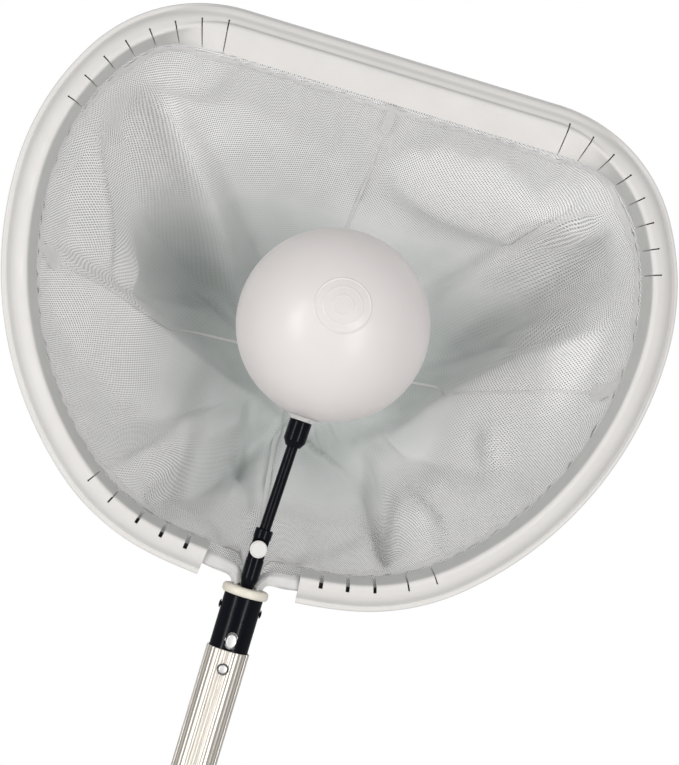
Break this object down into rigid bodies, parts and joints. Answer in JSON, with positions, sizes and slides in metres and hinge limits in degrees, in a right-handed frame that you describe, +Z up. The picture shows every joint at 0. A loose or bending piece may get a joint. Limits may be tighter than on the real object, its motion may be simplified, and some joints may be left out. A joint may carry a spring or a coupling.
{
  "type": "leaf skimmer net",
  "caption": "D-shaped deep-bag pool leaf skimmer with a slit vinyl rim, a ball float on a swinging arm and a spring-clip telescopic pole.",
  "frame": {"origin": "middle of the pole's flat butt face", "axes": "+Z runs up the pole towards the net, the net's mouth faces -Y and its bag hangs towards +Y, +X is to the right seen from the mouth side"},
  "size_m": [0.4904, 0.2781, 1.0959],
  "materials": {
    "vinyl": "soft satin white vinyl",
    "net_fabric": "fine white woven mesh",
    "hem_fabric": "white woven hem tape",
    "hoop_aluminium": "drawn rod, satin",
    "cream_plastic": "satin cream",
    "black_plastic": "glossy blue-black",
    "white_plastic": "satin white",
    "ball_plastic": "satin off-white",
    "spring_steel": "bright stainless",
    "anodised_aluminium": "ribbed, pale champagne anodised",
    "rubber": "matt"
  },
  "bodies": {
    "pole_inner": {"pole_inner_tube": "anodised_aluminium", "inner_bushing": "white_plastic", "hand_grip": "rubber", "butt_cap": "rubber"},
    "net_and_pole": {"pole_outer_tube": "anodised_aluminium", "lock_sleeve": "black_plastic", "sleeve_rivet_right": "spring_steel", "sleeve_rivet_left": "spring_steel", "hoop_rod": "hoop_aluminium", "net_hem": "hem_fabric", "rim_lip": "vinyl", "net_bag": "net_fabric", "plug_collar": "cream_plastic", "adapter_tube": "black_plastic", "cross_rivet": "black_plastic", "clip_bend": "spring_steel", "arm_base": "black_plastic", "pivot_pin": "white_plastic", "pin_retainer": "black_plastic"},
    "lock_collar": {"lock_collar": "black_plastic"},
    "clip_front": {"clip_leaf_front": "spring_steel", "lock_pin_front": "spring_steel", "release_button_front": "spring_steel"},
    "clip_back": {"clip_leaf_back": "spring_steel", "lock_pin_back": "spring_steel", "release_button_back": "spring_steel"},
    "float": {"stem_knuckle": "black_plastic", "stem_rod": "black_plastic", "stem_socket": "black_plastic", "ball_neck": "white_plastic", "float_ball": "ball_plastic"}
  },
  "joints": [
    {"name": "pole_extend", "type": "slide", "parent": "pole_inner", "child": "net_and_pole", "axis": [0, 0, 1], "range_m": [0, 0.3]},
    {"name": "lock_twist", "type": "hinge", "parent": "net_and_pole", "child": "lock_collar", "pos_m": [0, 0, 0.163], "axis": [0, 0, 1], "range_deg": [0, 60]},
    {"name": "clip_press_front", "type": "hinge", "parent": "net_and_pole", "child": "clip_front", "pos_m": [0, -0.0025, 0.596], "axis": [1, 0, 0], "range_deg": [-4, 0], "stiffness_Nm_per_rad": 1.5, "springref_deg": 8.59},
    {"name": "clip_press_back", "type": "hinge", "parent": "net_and_pole", "child": "clip_back", "pos_m": [0, 0.0025, 0.596], "axis": [1, 0, 0], "range_deg": [0, 4], "stiffness_Nm_per_rad": 1.5, "springref_deg": -8.59},
    {"name": "float_swing", "type": "hinge", "parent": "net_and_pole", "child": "float", "pos_m": [0, -0.0063, 0.726], "axis": [0, 1, 0], "range_deg": [-39, 35]}
  ]
}
